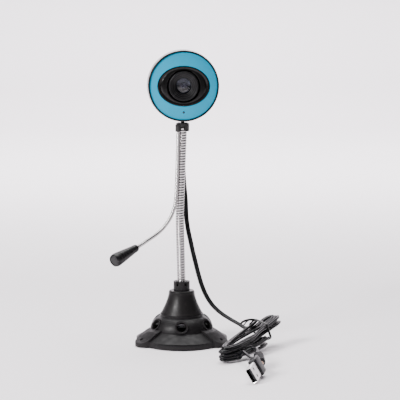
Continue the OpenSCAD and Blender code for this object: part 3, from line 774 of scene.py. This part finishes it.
def make_surround(m):
    """The glossy black oval: a rolled lip and a dish that falls to the focus ring."""
    steps = 144
    inner = FOCUS_R + 0.4
    rows = [(-0.01, -1.8), (-0.012, 0.05), (0.0, 0.32), (0.03, 0.42), (0.07, 0.32), (0.12, 0.05)]
    rings = []
    for f, rise in rows:
        ring = []
        for k in range(steps):
            a = 2 * math.pi * k / steps
            x, y = oval_point(a)
            ring.append(LENS @ Vector((x * (1 - f), y * (1 - f), dome(math.hypot(x, y)) + rise)))
        rings.append(ring)
    well = FOCUS_R + 1.5
    for f, drop in ((0.2, 0), (0.4, 0), (0.6, 0), (0.8, 0), (0.93, 0), (0.98, 0.08), (1.0, 0.35),
                    (1.03, 2.6)):
        ring = []
        for k in range(steps):
            a = 2 * math.pi * k / steps
            x, y = oval_point(a)
            g = (f - 0.12) / 0.88
            px = x * 0.88 * (1 - g) + well * math.cos(a) * g
            py = y * 0.88 * (1 - g) + well * math.sin(a) * g
            ring.append(LENS @ Vector((px, py, dome(math.hypot(px, py)) + 0.05 - drop)))
        rings.append(ring)
    rings.append([LENS @ Vector((inner * math.cos(2 * math.pi * k / steps),
                                 inner * math.sin(2 * math.pi * k / steps), 11.9))
                  for k in range(steps)])
    put(loft("lens_oval", rings, m["surround_black"]), "head", "surround_black", "lens_surround")


def make_focus(m):
    """The focus ring: knurled outside, with steps down to the glass."""
    def knurl(a):
        return -0.16 * (0.5 + 0.5 * math.cos(72 * a)) ** 2
    profile = [(8.1, 12.35), (11.9, 12.35), (FOCUS_R, 12.7), (FOCUS_R, 13.1), (FOCUS_R, 16.5),
               (FOCUS_R, 16.8), (12.2, 17.2), (12.0, 17.5), (11.7, 17.65), (11.2, 17.65),
               (10.95, 17.5), (10.85, 17.2), (10.7, 17.05), (9.7, 17.0), (9.45, 16.9), (9.35, 16.6),
               (9.3, 16.35), (9.1, 16.25), (8.3, 16.2), (8.05, 16.1), (7.95, 15.8), (7.9, 15.5),
               (7.7, 15.4), (7.0, 15.35), (6.75, 15.2), (6.7, 14.8), (6.7, 12.4)]
    ring = lathe("focus_knob", profile, LENS, m["lens_black"], 288, wave=knurl, waved=(3, 4))
    put(ring, "focus", "lens_black", "focus_ring")
    glass = [(0, 14.7), (1.2, 14.66), (2.4, 14.5), (3.6, 14.24), (4.8, 13.88), (5.8, 13.5),
             (6.5, 13.2), (6.65, 13.0), (6.65, 12.5), (5, 12.4), (0, 12.4)]
    front = lathe("lens_dome", glass, LENS, m["lens_glass"], 72)
    put(front, "focus", "lens_glass", "lens_front")
    cell = lathe("lens_cell",
                 [(6.65, 12.3), (5.4, 12.2), (5.3, 10.6), (4.2, 10.5), (4.1, 9.4), (2.7, 9.3),
                  (2.6, 8.2), (2.0, 8.1)], LENS, m["lens_inner"], 64)
    put(cell, "focus", "lens_black")
    iris = lathe("lens_inner_element", [(2.7, 8.0), (2.0, 8.5), (1.0, 8.8), (0, 8.9)], LENS,
                 m["filter_glass"], 48)
    put(iris, "focus", "lens_glass")


def make_indicator(m):
    """A pinprick of dark glass at the bottom of the face."""
    profile = [(0.93, 13.2), (0.93, 14.9), (0.7, 15.1), (0.35, 15.2), (0, 15.23)]
    obj = lathe("indicator_window", profile, LENS @ Matrix.Translation((0, -INDICATOR_DROP, 0)), m["led_dark"], 24)
    put(obj, "head", "led_dark", "indicator_lens")


# ---------------------------------------------------------------- carried-over CAD nodes
def dress_cad(m):
    """Every CAD node that stays gets its slot's material."""
    slots = {s["node"]: s["material_slot"] for s in frame["record"]["subparts"]}
    for name, obj in frame["nodes"].items():
        for i in range(max(1, len(obj.material_slots))):
            if i < len(obj.material_slots):
                obj.material_slots[i].material = m[slots[name]]
            else:
                obj.data.materials.append(m[slots[name]])


# ---------------------------------------------------------------- studio
def make_studio():
    """A pale floor that sweeps up behind, a dark card on the right, and key, top and back lights."""
    n = Nodes("studio_paper")
    low, high = shades((0.95, 0.905, 0.94), 0.01)
    n.link(n.ramp(n.noise(1.2, 2), low, high), n.shader.inputs["Base Color"])
    n.shader.inputs["Roughness"].default_value = 0.9
    rows = [(-3.0, 0), (2.2, 0), (2.6, 0.06), (2.9, 0.25), (3.0, 0.6), (3.0, 4.0)]
    verts = [(x, y, z) for y, z in rows for x in (-4, 4)]
    faces = [(2 * i, 2 * i + 1, 2 * i + 3, 2 * i + 2) for i in range(len(rows) - 1)]
    mesh = bpy.data.meshes.new("studio_sweep")
    mesh.from_pydata(verts, [], faces)
    mesh.materials.append(n.mat)
    for p in mesh.polygons:
        p.use_smooth = True
    floor = bpy.data.objects.new("studio_sweep", mesh)
    bpy.context.collection.objects.link(floor)
    card = bpy.data.meshes.new("dark_card")
    card.from_pydata([(0.75, -1.5, 0.02), (1.3, -0.1, 0.02), (1.3, -0.1, 1.3), (0.75, -1.5, 1.3)], [],
                     [(0, 1, 2, 3)])
    card.materials.append(surface("card_black", (0.02, 0.02, 0.02), 0.9, mottle=8, grain=60))
    flag = bpy.data.objects.new("dark_card", card)
    bpy.context.collection.objects.link(flag)
    for name, place, aim, size, power, color in (
            ("key", (-1.15, -1.05, 1.0), (0, 0, 0.1), 0.6, 58, (1, 0.985, 0.99)),
            ("top", (0.0, 0.5, 1.9), (0, 0.3, 0), 1.6, 60, (1, 1, 1)),
            ("back", (0.0, 1.5, 1.6), (0, 2.8, 0.6), 2.0, 105, (1, 0.98, 1))):
        light = bpy.data.lights.new(name, "AREA")
        light.energy = power
        light.size = size
        light.color = color
        obj = bpy.data.objects.new(name, light)
        obj.location = place
        obj.rotation_euler = (Vector(aim) - Vector(place)).to_track_quat("-Z", "Y").to_euler()
        bpy.context.collection.objects.link(obj)
    world = bpy.data.worlds.new("studio_air")
    world.use_nodes = True
    world.node_tree.nodes["Background"].inputs["Color"].default_value = (0.93, 0.92, 0.94, 1)
    world.node_tree.nodes["Background"].inputs["Strength"].default_value = 0.25
    bpy.context.scene.world = world


make_camera()
materials = make_materials()
cord_path, cord_length = make_cord(materials)
make_leads(materials, cord_path)
make_hoses(materials)
make_mic_hose(materials)
make_mic(materials)
make_face(materials)
make_surround(materials)
make_focus(materials)
make_indicator(materials)
dress_cad(materials)
make_studio()
